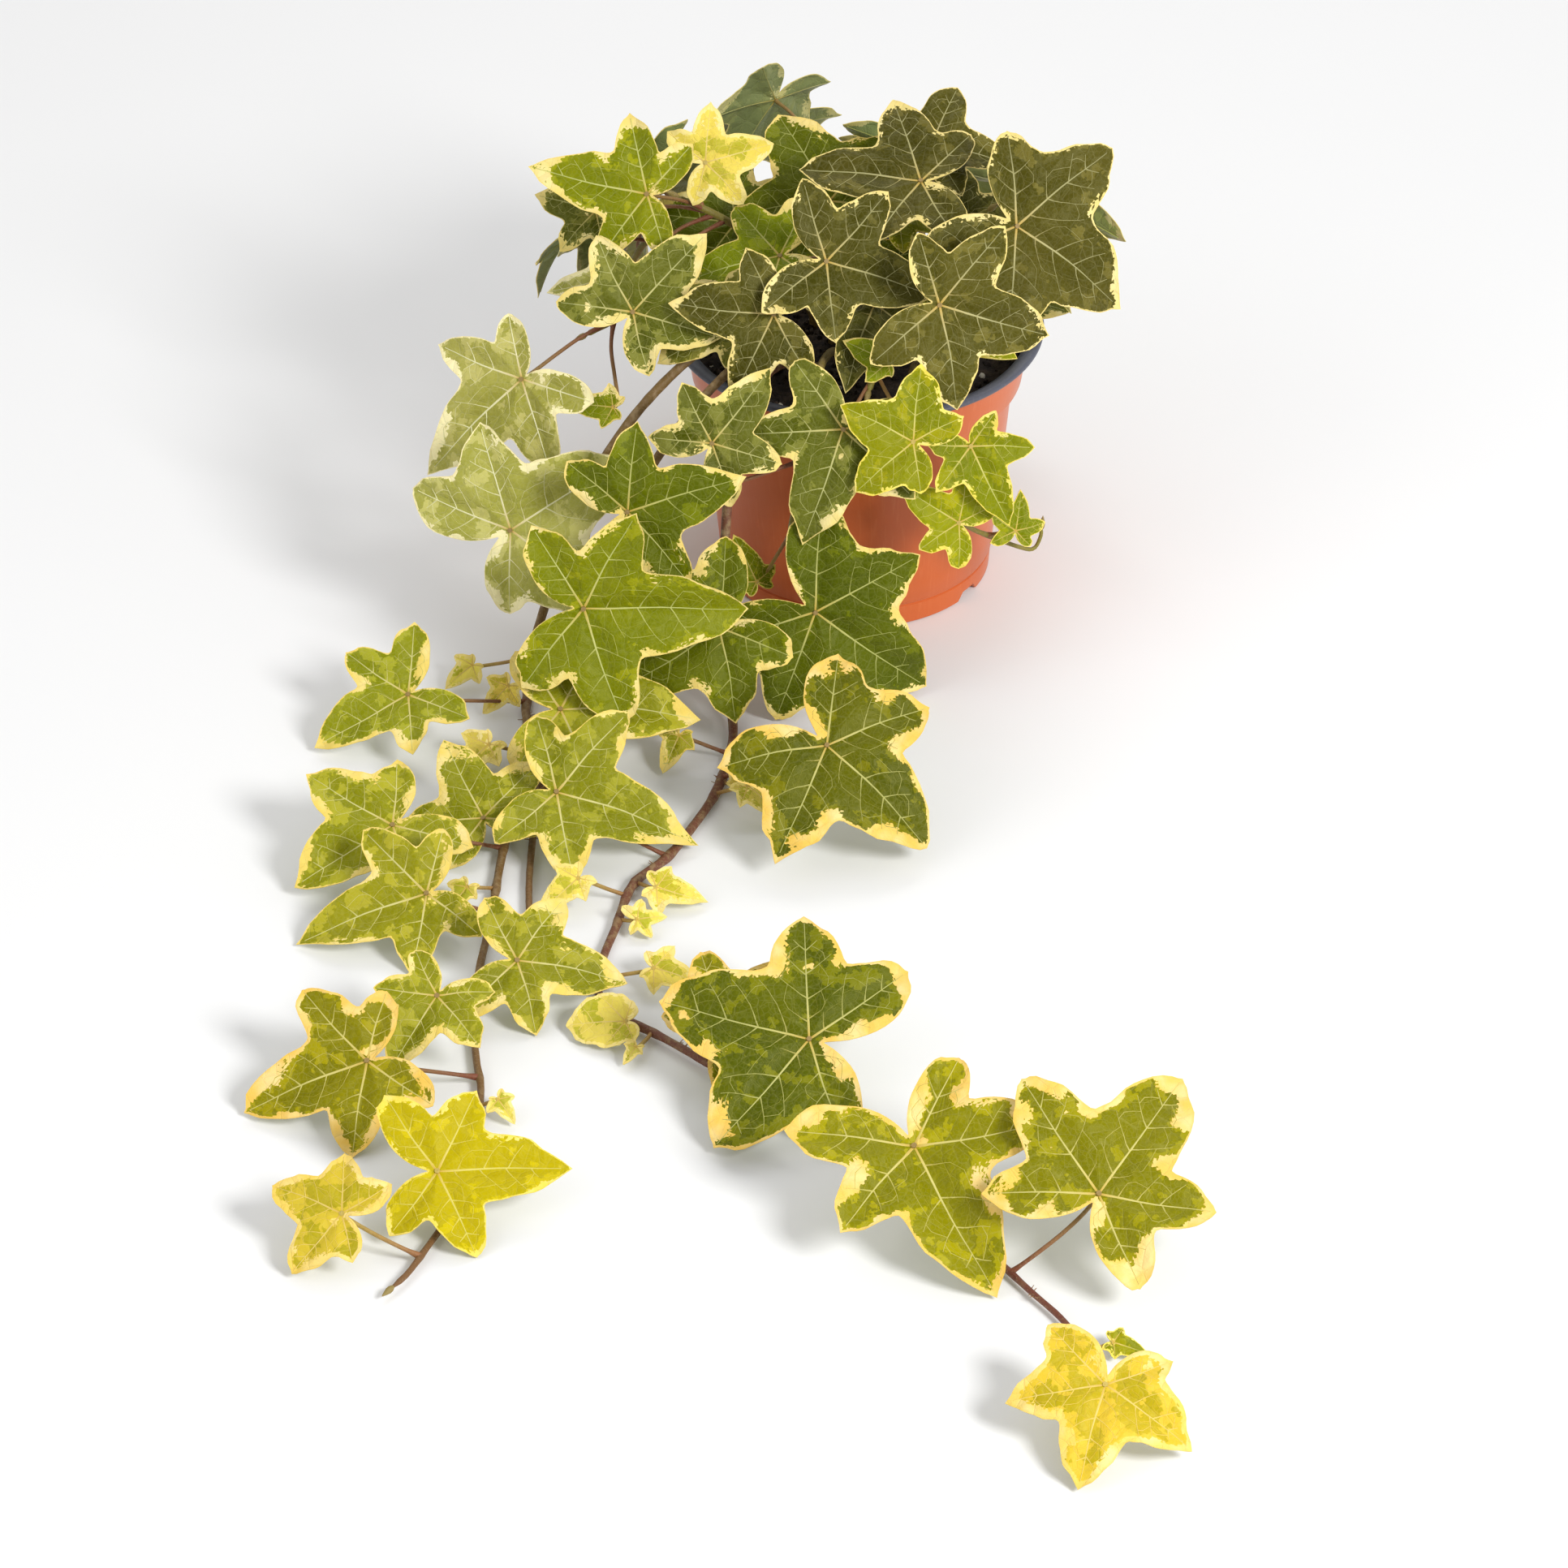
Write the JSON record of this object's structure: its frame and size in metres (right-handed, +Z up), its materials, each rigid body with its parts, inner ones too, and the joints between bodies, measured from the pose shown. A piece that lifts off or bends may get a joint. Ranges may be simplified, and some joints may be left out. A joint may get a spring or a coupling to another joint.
{
  "type": "potted ivy",
  "caption": "Variegated ivy with lobed, cream-edged leaves in a two-colour nursery pot; three long leafy stems hang over the rim and lie along the ground in front.",
  "frame": {"origin": "on the ground, under the middle of the whole plant's box", "axes": "+Y from the tips of the stems that lie on the ground towards the pot, +Z up, +X to the right as the viewer of the picture sees it"},
  "size_m": [0.2776, 0.582, 0.1634],
  "materials": {
    "pot_plastic": "satin",
    "earth": "matte",
    "ivy": "satin"
  },
  "bodies": {
    "root": {"crown_back": "ivy", "crown_back_left": "ivy", "crown_back_right": "ivy", "crown_front": "ivy", "crown_left_side": "ivy", "crown_left_top": "ivy", "crown_right": "ivy", "crown_right_front": "ivy", "crown_top": "ivy", "pot": "pot_plastic", "rim_shoot": "ivy", "soil": "earth", "trailing_stem_front": "ivy", "trailing_stem_left": "ivy", "trailing_stem_mid": "ivy"}
  },
  "joints": []
}
